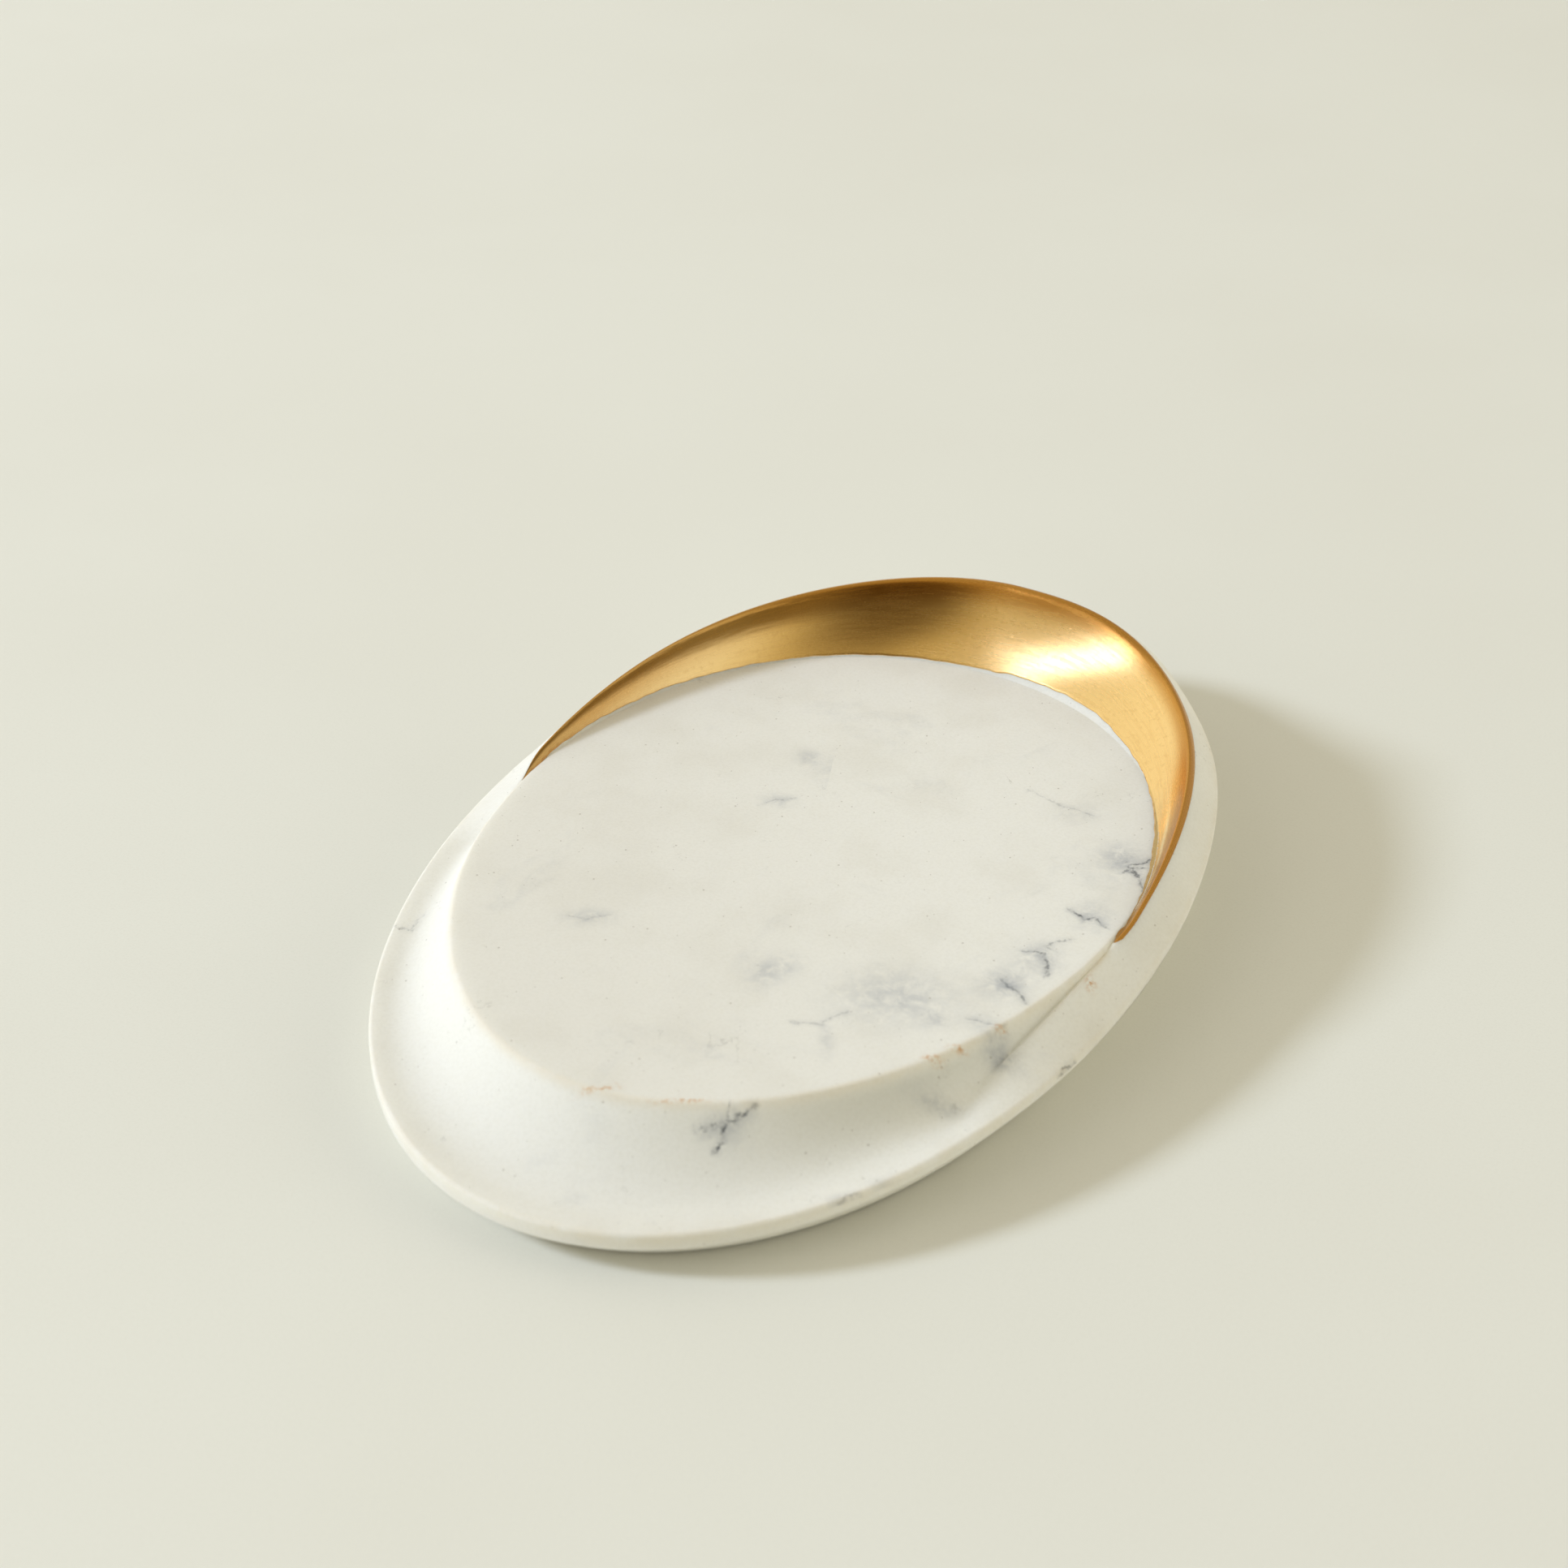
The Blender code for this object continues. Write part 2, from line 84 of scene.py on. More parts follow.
def wander(a, seed, waves):
    """A slow random-looking wave between -1 and 1: the mean of sines at whole turns of the given counts."""
    total = np.zeros_like(a)
    for k, n in enumerate(waves):
        total = total + np.sin(n * a + seed * (k + 1.37) * 2.41)
    return total / len(waves)


def between(low, high, share):
    """The value at a share of the way from low to high."""
    return low + (high - low) * share


def eased(share):
    """A share from 0 to 1 that leaves and arrives gently: s s (3 - 2 s), held at both ends."""
    held = np.clip(share, 0.0, 1.0)
    return held * held * (3.0 - 2.0 * held)


def bell(x, width):
    """A bell of height 1 round x = 0: exp(-(x / width)^2)."""
    return np.exp(-((x / width) ** 2))


def under(a, b, width):
    """The lower of two surfaces with a rounded join: (a + b - sqrt((a - b)^2 + width^2)) / 2."""
    return 0.5 * (a + b - np.sqrt((a - b) ** 2 + width ** 2))


def turned(a):
    """The fan angle from the back, positive round the left side and negative round the right."""
    return np.mod(a + math.pi, 2.0 * math.pi) - math.pi


def by_side(a, left, right):
    """One value round the left side and another round the right."""
    return np.where(turned(a) > 0.0, left, right)


rim_oval = oval(RIM_LENGTH, RIM_WIDTH, 0.0, -RIM_NARROWING)
platform_oval = oval(PLATFORM_LENGTH, PLATFORM_WIDTH, PLATFORM_MIDDLE, PLATFORM_WIDENING)
foot_oval = oval(FOOT_LENGTH, FOOT_WIDTH, FOOT_MIDDLE, -RIM_NARROWING)


def rim_at(a):
    """Distance to the rim: the oval, rubbed in by 1.6 mm at the right shoulder, and inward by up to 0.1 mm
    all round where the edge was dressed by hand."""
    dip = SHOULDER_DIP * bell(turned(a) + SHOULDER_AT, SHOULDER_SPAN)
    return rim_oval(a) - dip - RIM_WANDER * (1.0 + wander(a, 1.0, (3, 5, 8, 13)))


def platform_at(a):
    """Distance to the platform's edge, with 0.1 mm of wander."""
    return platform_oval(a) + PLATFORM_WANDER * wander(a, 2.0, (4, 7, 11, 19))


def past_tip(a):
    """Angle past the raised back's tip on each side, negative before it."""
    return np.abs(turned(a)) - by_side(a, TIP_LEFT, TIP_RIGHT)


def sunk(a):
    """0 up to the raised back's tip and 1 where its crest has sunk into the rim."""
    return np.clip(past_tip(a) / by_side(a, FADE_LEFT, FADE_RIGHT), 0.0, 1.0)


def back_share(a):
    """0 at the front end of the rim and 1 at the back end."""
    return np.clip((FAN_Y + rim_oval(a) * np.cos(a) + RIM_LENGTH) / (2.0 * RIM_LENGTH), 0.0, 1.0)


def rim_top(a):
    """Height of the rim's top: a straight rise less a sag of 2.2 mm that comes in at the back."""
    return between(RIM_FRONT_Z, RIM_BACK_Z, back_share(a)) - RIM_SAG * back_share(a) ** 6


def crest_at(a):
    """Distance to the crest: set in from the rim by 4.1 mm on the left, 4.4 mm on the right and 14.8 mm at
    the back, drawn in to the platform at the tips, and drifting off it past the right tip."""
    at_back = bell(turned(a), by_side(a, BACK_SPAN_LEFT, BACK_SPAN_RIGHT))
    inset = between(by_side(a, INSET_LEFT, INSET_RIGHT), INSET_BACK, at_back)
    inner = platform_at(a)
    gap = np.maximum(rim_oval(a) - inset - inner, TIP_GAP)
    drift = by_side(a, DRIFT_LEFT, DRIFT_RIGHT) * sunk(a) ** 1.3
    return inner + between(gap, TIP_GAP + drift, eased(1.0 + past_tip(a) / PULL_IN))


def crest_height(a):
    """Height where the cove and the wall would meet: an even climb on the left, a shoulder and a steeper
    end on the right, sinking to the rim's height past each tip."""
    s = np.abs(turned(a))
    left = between(BACK_RISE, TIP_RISE, np.clip(s / TIP_LEFT, 0.0, 1.0) ** CLIMB_LEFT)
    shoulder = between(SHOULDER_RISE, TIP_RISE, np.clip(s / TIP_RIGHT, 0.0, 1.0) ** CLIMB_RIGHT)
    right = shoulder + (BACK_RISE - SHOULDER_RISE) * np.exp(-((s / SHOULDER_AT) ** 3))
    return between(rim_top(a), PLATFORM_Z + by_side(a, left, right), 1.0 - sunk(a) ** 2)


def corner_at(a):
    """Radius of the rim's upper corner: 0.5 mm, and up to 1.1 mm along the right side, where it is rolled."""
    return UPPER_CORNER + ROLLED_MORE * bell(turned(a) + ROLLED_AT, ROLLED_SPAN)


def wall_end(a):
    """Distance, height and slope angle where the outer wall runs into the rim's rounded corner."""
    corner, rim, top = corner_at(a), rim_at(a), rim_top(a)
    steep = np.arctan2(np.maximum(crest_height(a) - top, 0.0), rim - corner - crest_at(a))
    return rim - corner * (1.0 - np.sin(steep)), top - corner * (1.0 - np.cos(steep)), steep


def top_height(a, reach):
    """Height of the top: the ridge, or the platform and its side where that is higher. The ridge is the
    lower of the straight wall and the cove, which climbs as 0.7 u + 0.3 u^2.5, with u from 0 at the
    platform to 1 at the crest. The side falls as (1 - q)^2.3, with q from 0 at the platform to 1 near
    the rim, and with a power of up to 3.8 beside the tips."""
    inner, crest, top, flange = platform_at(a), crest_at(a), crest_height(a), rim_top(a)
    rise = top - PLATFORM_Z
    end_reach, end_height, _ = wall_end(a)
    wall = end_height + (top - end_height) * (end_reach - reach) / (end_reach - crest)
    u = np.clip((reach - inner) / (crest - inner), 0.0, 1.0)
    climb = np.maximum(rise, 0.0)
    last_slope = (COVE_LINE + COVE_CURVE * COVE_POWER) * climb / (crest - inner)
    shallow = np.clip(1.0 - rise / VALLEY_RISE, 0.0, 1.0)
    cove = top - climb * (1.0 - (COVE_LINE * u + COVE_CURVE * u ** COVE_POWER))
    cove = cove + last_slope * np.maximum(reach - crest, 0.0) + VALLEY_SLOPE * shallow * (reach - crest)
    soft = between(CREST_SOFT_LOW, CREST_SOFT_HIGH, np.clip(rise / BACK_RISE, 0.0, 1.0)) * u
    ridge = under(cove, wall, soft)
    rim, corner = rim_at(a), corner_at(a)
    q = np.clip((reach - inner) / (rim - RIM_LAND - inner), 0.0, 1.0)
    power = SIDE_POWER + SIDE_POWER_AT_TIP * bell(past_tip(a), TIP_SPAN)
    lean = np.maximum(power * (PLATFORM_Z - flange) / (rim - RIM_LAND - inner), LEAST_LEAN)
    over_corner = np.clip(reach - rim + corner, 0.0, corner)
    rolled = corner - np.sqrt(corner ** 2 - over_corner ** 2)
    side = between(flange, PLATFORM_Z, (1.0 - q) ** power) + lean * np.maximum(inner - reach, 0.0) - rolled
    open_edge = np.clip((PLATFORM_Z - flange) / SOFT_STEP, 0.0, 1.0)
    level = under(np.full_like(side, PLATFORM_Z), side, EDGE_SOFT * open_edge)
    level = np.where(flange < PLATFORM_Z, level, np.where(reach > crest, 0.0, PLATFORM_Z))
    join = JOIN_SOFT * (1.0 - q) * np.clip((reach - inner) / (2.0 * JOIN_SOFT), 0.0, 1.0) * shallow
    ridge = np.where(reach < inner, 0.0, ridge)
    return 0.5 * (level + ridge + np.sqrt((level - ridge) ** 2 + join ** 2))


def surface(name, grid, closed_u, material):
    """A mesh object over a grid of points, grid[row, column]. The last column joins the first where
    closed_u is true, and points in one place, such as a pole, become one."""
    rows, columns = grid.shape[:2]
    index = np.arange(rows * columns).reshape(rows, columns)
    after = np.roll(index, -1, axis=1)
    if not closed_u:
        index, after = index[:, :-1], after[:, :-1]
    faces = np.stack((index[:-1], index[1:], after[1:], after[:-1]), axis=-1).reshape(-1, 4)
    mesh = bpy.data.meshes.new(name)
    mesh.from_pydata(grid.reshape(-1, 3), [], faces)
    mesh.materials.append(material)
    shell = bmesh.new()
    shell.from_mesh(mesh)
    bmesh.ops.remove_doubles(shell, verts=shell.verts, dist=1.0e-6)
    shell.to_mesh(mesh)
    shell.free()
    mesh.shade_smooth()
    mesh.update()
    piece = bpy.data.objects.new(name, mesh)
    bpy.context.scene.collection.objects.link(piece)
    return piece


def points_of(piece):
    """The x, y and z of a piece's points, each as an array in millimetres."""
    flat = np.empty(3 * len(piece.data.vertices), np.float32)
    piece.data.vertices.foreach_get("co", flat)
    return flat.reshape(-1, 3).astype(float).T / MM


def note(piece, name, values):
    """Store one number for each point of a piece, for its material to read."""
    layer = piece.data.attributes.new(name, "FLOAT", "POINT")
    layer.data.foreach_set("value", np.ravel(values).astype(np.float32))


def linear(code):
    """An sRGB hex colour as linear red, green, blue and 1."""
    parts = [int(code[k:k + 2], 16) / 255.0 for k in (1, 3, 5)]
    return [c / 12.92 if c <= 0.04045 else ((c + 0.055) / 1.055) ** 2.4 for c in parts] + [1.0]


def add(tree, kind, settings=None, links=None):
    """Add a node, set its properties and input values, and link its inputs."""
    node = tree.nodes.new(kind)
    for key, value in (settings or {}).items():
        if isinstance(key, str) and hasattr(node, key):
            setattr(node, key, value)
        else:
            node.inputs[key].default_value = value
    for key, source in (links or {}).items():
        tree.links.new(source, node.inputs[key])
    return node


def new_material(name):
    """A node material, its tree, its Principled shader and its Object coordinates, in metres."""
    material = bpy.data.materials.new(name)
    material.use_nodes = True
    tree = material.node_tree
    return material, tree, tree.nodes["Principled BSDF"], add(tree, "ShaderNodeTexCoord").outputs["Object"]


# Filled resin, sanded to a satin and a little translucent, so light creeps into its thin edges: warm white
# and cloudy, with blue-grey smudges, dark hair veins, pinholes, specks, and beige along its edges, and with
# painted light and shade: whiter over the cove, darker on the left and in the cove at the front right.
resin, tree, shader, place = new_material("cast_marble_resin")


def speckle(tree, scale, detail=3.0, rough=0.55, bend=0.0):
    """Noise over the piece with grains of about 1 / scale metres, from 0 to 1."""
    settings = {"Scale": scale, "Detail": detail, "Roughness": rough, "Distortion": bend}
    vector = tree.nodes["Texture Coordinate"].outputs["Object"]
    return add(tree, "ShaderNodeTexNoise", settings, {"Vector": vector}).outputs["Fac"]


def noted(tree, name):
    """A number that the mesh carries for its material."""
    return add(tree, "ShaderNodeAttribute", {"attribute_name": name}).outputs["Fac"]


def ramp(tree, value, low, high, start=0.0, end=1.0):
    """Turn low..high into start..end along a soft step."""
    settings = {"interpolation_type": "SMOOTHSTEP", "From Min": low, "From Max": high,
                "To Min": start, "To Max": end}
    return add(tree, "ShaderNodeMapRange", settings, {"Value": value}).outputs["Result"]


def calc(tree, kind, first, second=0.0):
    """One step of arithmetic on two values, each a socket or a number."""
    node = add(tree, "ShaderNodeMath", {"operation": kind})
    for slot, value in ((0, first), (1, second)):
        if isinstance(value, (int, float)):
            node.inputs[slot].default_value = value
        else:
            tree.links.new(value, node.inputs[slot])
    return node.outputs["Value"]


def times(tree, first, *others):
    """The product of two or more values."""
    for value in others:
        first = calc(tree, "MULTIPLY", first, value)
    return first


def shaken(tree, value, noise, amount):
    """A value moved by an amount times how far a noise is from its middle."""
    return calc(tree, "ADD", value, times(tree, calc(tree, "SUBTRACT", noise, 0.5), amount))


def base(tree, code):
    """A plain colour to lay others over."""
    colour = add(tree, "ShaderNodeRGB").outputs["Color"]
    colour.default_value = linear(code)
    return colour


def tint(tree, colour, share, code):
    """Lay a second colour over the first by a share."""
    over = {"data_type": "RGBA", 7: linear(code)}
    return add(tree, "ShaderNodeMix", over, {0: share, 6: colour}).outputs[2]


def bumped(tree, shader, height, strength, depth):
    """Fine relief, too small for the mesh: a height from 0 to 1 stands for a depth in metres."""
    relief = add(tree, "ShaderNodeBump", {"Strength": strength, "Distance": depth}, {"Height": height})
    tree.links.new(relief.outputs["Normal"], shader.inputs["Normal"])


# Its tone: clouds of about 12 mm from warm to cool white. Painted light: whiter over the cove and the wall.
# Painted shade: darker on the left, toward the lamp, and greyer in the cove at the front right, deepening the
# platform's shadow there.
body = base(tree, "#EFEDE5")
body = tint(tree, body, ramp(tree, speckle(tree, 85.0, 5.0), 0.42, 0.70, 0.0, 0.7), "#E7E4DA")
# Painted light: whiter over the cove and the wall.
body = tint(tree, body, times(tree, noted(tree, "painted_cove_light"), 0.8), "#F3F2EB")
# Painted shade: greyer in the cove at the front right, deepening the platform's shadow.
body = tint(tree, body, times(tree, noted(tree, "painted_cove_shade"), 0.65), "#CDCDC3")
# Painted shade: darker over the left part of the dish, toward the lamp.
across_way = {"operation": "DOT_PRODUCT", 1: (0.87, 0.5, 0.0)}
across_dish = add(tree, "ShaderNodeVectorMath", across_way, {0: place}).outputs["Value"]
body = tint(tree, body, ramp(tree, across_dish, -0.035, 0.02, 0.30, 0.0), "#D9D4C8")
body = tint(tree, body, ramp(tree, speckle(tree, 2600.0, 2.0), 0.35, 0.75, 0.0, 0.14), "#C9C4B4")
# Its smudges of grey pigment, mottled from about 2 mm down, where the maker dabbed them, and faint elsewhere.
mottle = ramp(tree, speckle(tree, 520.0, 8.0, 0.68, 0.4), 0.26, 0.66)
haze = ramp(tree, speckle(tree, 60.0, 5.0, 0.6, 0.8), 0.58, 0.78, 0.0, 0.22)
smudged = times(tree, calc(tree, "ADD", noted(tree, "smudge"), haze), mottle)
body = tint(tree, body, calc(tree, "MINIMUM", times(tree, smudged, 0.95), 0.8), "#A2A6AC")
# Its hair veins: thin where the distance to a stroke, shaken by noise, is nearly nothing.
shake = speckle(tree, 520.0, 6.0, 0.75)
off_line = calc(tree, "ABSOLUTE", shaken(tree, noted(tree, "vein_side"), shake, 2.2))
uneven = ramp(tree, speckle(tree, 1500.0, 3.0), 0.38, 0.60, 0.2, 1.0)
hair = times(tree, ramp(tree, off_line, 0.03, 0.24, 1.0, 0.0), noted(tree, "vein"), uneven)
soot = times(tree, ramp(tree, off_line, 0.0, 1.1, 0.34, 0.0), noted(tree, "vein"), mottle)
body = tint(tree, body, soot, "#8A8E96")
body = tint(tree, body, times(tree, hair, 0.9), "#585B60")
# Its faint cracks: the thin band where a slow noise passes its middle, in a few patches only.
off_middle = calc(tree, "ABSOLUTE", calc(tree, "SUBTRACT", speckle(tree, 105.0, 6.0, 0.6, 0.4), 0.5))
patch = ramp(tree, speckle(tree, 130.0, 2.0), 0.60, 0.70, 0.0, 0.45)
body = tint(tree, body, times(tree, ramp(tree, off_middle, 0.0, 0.006, 1.0, 0.0), patch), "#8F8A7E")
# Its pinholes and specks: dots about 0.2 mm across, in a few cells of two patterns, 1.6 and 0.9 mm wide.
dots = None
for cell, size, rare in ((620.0, 0.11, 0.78), (1150.0, 0.13, 0.84)):
    grains = add(tree, "ShaderNodeTexVoronoi", {"Scale": cell}, {"Vector": place})
    kept = add(tree, "ShaderNodeSeparateColor", None, {"Color": grains.outputs["Color"]}).outputs["Red"]
    round_dot = ramp(tree, grains.outputs["Distance"], 0.4 * size, size, 1.0, 0.0)
    dot = times(tree, round_dot, calc(tree, "GREATER_THAN", kept, rare))
    dots = dot if dots is None else calc(tree, "MAXIMUM", dots, dot)
body = tint(tree, body, times(tree, dots, 0.5), "#8C7F6A")
# Beige along the edges, and flecks of gilding size left where the leaf was trimmed.
edge_beige = times(tree, noted(tree, "beige_edges"), ramp(tree, speckle(tree, 330.0, 4.0), 0.30, 0.62, 0.35, 1.0))
body = tint(tree, body, times(tree, edge_beige, 0.42), "#DCCBA8")
fleck = times(tree, noted(tree, "gilt_fleck"), ramp(tree, speckle(tree, 1900.0, 4.0, 0.7), 0.44, 0.58))
body = tint(tree, body, fleck, "#C9924A")
tree.links.new(body, shader.inputs["Base Color"])
tree.links.new(ramp(tree, speckle(tree, 900.0, 3.0), 0.3, 0.7, 0.56, 0.68), shader.inputs["Roughness"])
grit = calc(tree, "SUBTRACT", times(tree, speckle(tree, 1300.0, 4.0, 0.6), 0.6), dots)
grit = calc(tree, "SUBTRACT", grit, times(tree, hair, 0.6))
bumped(tree, shader, grit, 0.5, 0.05 * MM)
shader.inputs["IOR"].default_value = 1.45
shader.inputs["Subsurface Weight"].default_value = 0.5
shader.inputs["Subsurface Radius"].default_value = (1.0, 0.97, 0.88)
shader.inputs["Subsurface Scale"].default_value = 3.0 * MM

# The rows of its surface run from the middle of the top out over the rim, and back under to the middle of
# the base. The columns are spaced evenly round the rim. One row follows the crest and, at the open front,
# where there is no crest, a line 0.4 of the way from the platform to the rim.
turn = np.arange(AROUND) * 2.0 * math.pi / AROUND
columns = np.arctan2(RIM_WIDTH * (1.0 - RIM_NARROWING * np.cos(turn)) * np.sin(turn),
                     RIM_LENGTH * np.cos(turn) - FAN_Y)[None, :]
inner, crest, outer, foot = platform_at(columns), crest_at(columns), rim_at(columns), foot_oval(columns)
top = rim_top(columns)
low = top - between(EDGE_BACK, EDGE_FRONT, (1.0 - back_share(columns)) ** 4)
last, _, steep = wall_end(columns)
open_front = eased(past_tip(columns) / FADE_RIGHT - 0.6)
split = between(crest, between(inner, last, 0.4), open_front)


def steps(n):
    """n steps from 0 to 1, closer together at both ends, as a column."""
    return 0.5 - 0.5 * np.cos(np.linspace(0.0, math.pi, n + 1))[1:, None]


top_reach = np.concatenate((
    np.linspace(0.0, 1.0, PLATFORM_ROWS)[:, None] * (inner - 1.2 * EDGE_BAND),
    inner + np.linspace(-1.0, 0.0, EDGE_ROWS)[:, None] * EDGE_BAND,
    between(inner, split, steps(COVE_ROWS)),
    between(split, last, steps(WALL_ROWS))))
corner_turn = between(steep, 0.5 * math.pi, np.linspace(0.0, 1.0, CORNER_ROWS + 1)[1:, None])
corner = corner_at(columns)
edge_share = np.array([0.75, 0.5, 0.25])[:, None]
under_turn = np.linspace(0.0, 0.5 * math.pi, UNDER_ROWS)[:, None]
slope_share = np.linspace(1.0, 0.0, SLOPE_ROWS + 1)[1:, None]
foot_share = np.array([0.3, 0.7, 1.0])[:, None]
base_share = np.array([0.8, 0.5, 0.2, 0.0])[:, None]
reach = np.concatenate((
    top_reach,
    outer - corner + corner * np.sin(corner_turn),
    outer + 0.0 * edge_share,
    outer - UNDER_CORNER + UNDER_CORNER * np.cos(under_turn),
    between(foot, outer - UNDER_CORNER, slope_share),
    foot - np.concatenate((FOOT_RING * foot_share, FOOT_RING + FOOT_STEP * foot_share)),
    (foot - FOOT_RING - FOOT_STEP) * base_share))
height = np.concatenate((
    top_height(columns, top_reach),
    top - corner + corner * np.cos(corner_turn),
    between(low + UNDER_CORNER, top - corner, edge_share),
    low + UNDER_CORNER - UNDER_CORNER * np.sin(under_turn),
    between(FOOT_Z, low, slope_share ** UNDER_BOW),
    FOOT_Z + 0.0 * foot * foot_share,
    between(FOOT_Z, BASE_Z, eased(foot_share)) + 0.0 * foot,
    BASE_Z + 0.0 * foot * base_share))
wide = np.broadcast_to(columns, reach.shape)
casting = np.stack((-reach * np.sin(wide), FAN_Y + reach * np.cos(wide), height), axis=-1)
cast_dish = surface("cast_dish", casting, True, resin)

# The marks on the casting's upper side, placed in the plan in mm. Veins: strength, then the points of
# the stroke. Smudges: x, y, half sizes along and across LONG_WAY, which is the picture's width, and strength.
# Flecks: the same without a strength.
LONG_WAY = (0.8665, 0.4992)
VEINS = (
    (1.0, (36.0, 12.5), (36.5, 14.2), (37.6, 16.6)),
    (0.9, (36.3, 13.7), (38.0, 11.8), (39.2, 9.7)),
    (1.0, (33.8, 1.3), (35.9, 0.4), (36.7, 1.4), (38.7, 0.2)),
    (0.6, (34.4, -6.5), (35.1, -5.4), (36.0, -4.4)),
    (0.8, (32.9, -8.9), (34.5, -8.3), (36.1, -10.0), (36.8, -12.1)),
    (0.8, (33.2, -15.6), (35.1, -16.5), (37.0, -17.9)),
    (0.4, (33.1, -24.2), (35.3, -24.0), (36.7, -23.1)),
    (0.35, (15.9, -34.6), (18.8, -33.3), (19.2, -31.8), (20.0, -30.1)),
    (0.28, (17.6, 23.2), (21.8, 22.1), (26.9, 21.9)),
    (0.32, (-10.4, 3.3), (-9.4, 5.2), (-7.8, 6.5)),
    (0.25, (-17.9, -29.7), (-15.6, -29.3), (-13.7, -27.0)),
    (1.0, (19.4, -49.5), (18.1, -51.2), (17.4, -52.2), (17.4, -53.9)),
    (0.6, (15.1, -53.7), (16.3, -52.7), (17.5, -51.8)),
    (0.5, (31.2, -52.3), (31.8, -51.4), (32.5, -50.1)),
    (0.8, (43.8, -22.6), (44.0, -21.2), (44.3, -19.8)),
    (0.35, (-39.9, -35.7), (-37.7, -35.2), (-37.8, -32.5)))
SMUDGES = (
    (34.5, 14.3, 2.6, 3.3, 0.75), (36.5, 1.3, 2.3, 2.8, 0.55), (34.4, -9.5, 2.5, 3.0, 0.60),
    (33.6, -16.0, 2.8, 2.8, 0.70), (23.7, -24.5, 6.4, 4.7, 0.55), (29.4, -26.3, 1.5, 1.5, 0.45),
    (8.3, -28.3, 2.1, 2.5, 0.45), (9.3, -25.5, 2.1, 2.0, 0.42), (20.7, -35.5, 0.8, 3.0, 0.40),
    (37.7, -25.3, 2.0, 1.7, 0.80), (-4.1, 15.7, 3.6, 3.5, 0.58), (-10.9, 16.2, 1.5, 1.6, 0.55),
    (-9.1, 5.1, 2.0, 1.5, 0.40), (-15.6, -28.7, 2.7, 1.6, 0.45), (3.5, 29.5, 2.2, 2.1, 0.50),
    (-7.8, 34.2, 2.0, 2.6, 0.50), (10.6, 36.9, 2.2, 5.3, 0.45), (34.3, -24.1, 1.7, 1.3, 0.50),
    (17.6, -52.2, 2.1, 1.0, 0.40), (34.6, -35.0, 2.9, 1.0, 0.50), (31.7, -51.5, 1.4, 0.8, 0.50),
    (34.5, -47.4, 1.7, 0.8, 0.35), (25.4, 21.5, 3.1, 2.3, 0.25))
FLECKS = (
    (32.5, -32.5, 0.9, 0.4), (34.0, -29.4, 0.9, 0.3), (41.3, -9.5, 0.5, 0.9), (12.4, -53.0, 2.6, 0.25),
    (3.4, -55.7, 1.8, 0.25), (36.5, -23.6, 0.6, 0.3))
FAR_FROM_VEINS, VEIN_REACH, UPPER_SIDE = 9.0, 0.9, 0.75 * MM
spot_x, spot_y, spot_z = points_of(cast_dish)
spot_angle = np.arctan2(-spot_x * MM, spot_y * MM - FAN_Y)
spot_reach = np.hypot(spot_x * MM, spot_y * MM - FAN_Y)
above = spot_z * MM > rim_top(spot_angle) - UPPER_SIDE


def dabs(x, y, marks):
    """The sum of soft oval spots exp(-(p^2 + q^2)), with p and q the places along and across LONG_WAY."""
    total = np.zeros_like(x)
    for middle_x, middle_y, half_long, half_wide, *strength in marks:
        p = ((x - middle_x) * LONG_WAY[0] + (y - middle_y) * LONG_WAY[1]) / half_long
        q = ((y - middle_y) * LONG_WAY[0] - (x - middle_x) * LONG_WAY[1]) / half_wide
        total = total + np.exp(-(p ** 2 + q ** 2)) * (strength[0] if strength else 1.0)
    return total


# For each point, the nearest stroke: how far it is, on which side, and its strength, which fades past
# its ends.
nearest = np.full_like(spot_x, FAR_FROM_VEINS)
vein_side, vein = nearest.copy(), np.zeros_like(spot_x)
for strength, *line in VEINS:
    for k, (start, end) in enumerate(zip(line[:-1], line[1:])):
        step_x, step_y = end[0] - start[0], end[1] - start[1]
        length = math.hypot(step_x, step_y)
        along_it = ((spot_x - start[0]) * step_x + (spot_y - start[1]) * step_y) / length
        side = (step_x * (spot_y - start[1]) - step_y * (spot_x - start[0])) / length
        before_start = -along_it if k == 0 else 0.0
        beyond = np.maximum(before_start, along_it - length if k == len(line) - 2 else 0.0)
        away_from = np.hypot(side, np.maximum(np.maximum(-along_it, along_it - length), 0.0))
        closer = away_from < nearest
        fade = np.clip(1.0 - beyond / VEIN_REACH, 0.0, 1.0) * np.clip(2.0 - away_from / VEIN_REACH, 0.0, 1.0)
        nearest, vein_side = np.where(closer, away_from, nearest), np.where(closer, side, vein_side)
        vein = np.where(closer, strength * fade, vein)
note(cast_dish, "vein_side", vein_side)
note(cast_dish, "vein", vein * above)
note(cast_dish, "smudge", dabs(spot_x, spot_y, SMUDGES) * above)
note(cast_dish, "gilt_fleck", np.minimum(dabs(spot_x, spot_y, FLECKS), 1.0) * above)
# Where the casting gets painted light (the cove and wall, clear of the platform and rim), painted shade (the
# cove at the front right), and beige along its edges: the platform's edge, the rim's edge, and the ridge past
# the right tip.
past_edge = (spot_reach - platform_at(spot_angle)) / MM
to_rim = (rim_at(spot_angle) - spot_reach) / MM
# Painted light over the cove and wall.
cove_light_share = np.clip(past_edge / 0.8, 0.0, 1.0) * np.clip((to_rim - 1.0) / 3.0, 0.0, 1.0)
note(cast_dish, "painted_cove_light", cove_light_share * above)
# Painted shade in the cove at the front right, deepening the platform's shadow.
front_right = bell(turned(spot_angle) + 2.2, 0.5)
note(cast_dish, "painted_cove_shade", eased(past_edge) * eased((to_rim - 3.5) / 6.0) * front_right * above)
